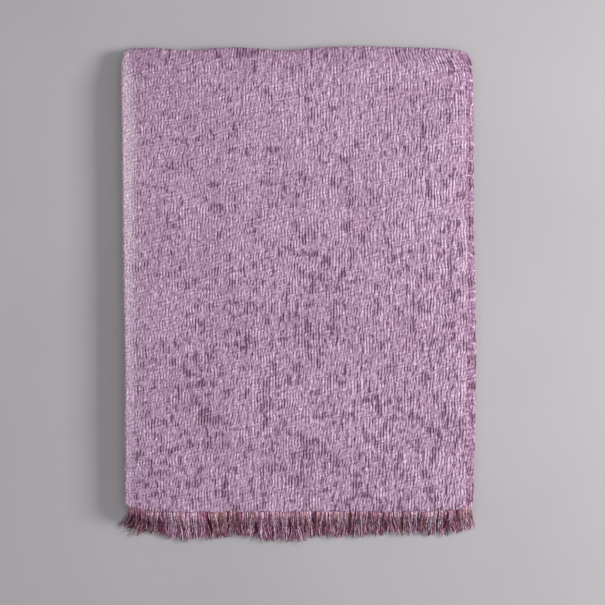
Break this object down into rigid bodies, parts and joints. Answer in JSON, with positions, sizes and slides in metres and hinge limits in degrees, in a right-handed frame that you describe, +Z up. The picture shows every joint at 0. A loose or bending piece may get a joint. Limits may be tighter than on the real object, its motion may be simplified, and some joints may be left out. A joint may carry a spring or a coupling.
{
  "type": "folded sofa throw",
  "caption": "Woven crinkle throw for a sofa, folded flat into an oblong stack of layers, with one fringed end showing along a short side.",
  "frame": {"origin": "middle of the footprint, on the surface that the throw lies on", "axes": "+X across the folded throw towards its full right fold, +Y along it towards the top fold and away from the fringe that shows, +Z up"},
  "size_m": [0.437, 0.615, 0.0277],
  "materials": {
    "crinkle_weave": "soft crinkled weave in mauve with darker plum flecks",
    "fringe_yarn": "loose twisted yarn in mauve, plum and taupe"
  },
  "bodies": {
    "root": {"throw_cloth": "crinkle_weave", "front_fringe": "fringe_yarn", "hidden_fringe": "fringe_yarn"}
  },
  "joints": []
}
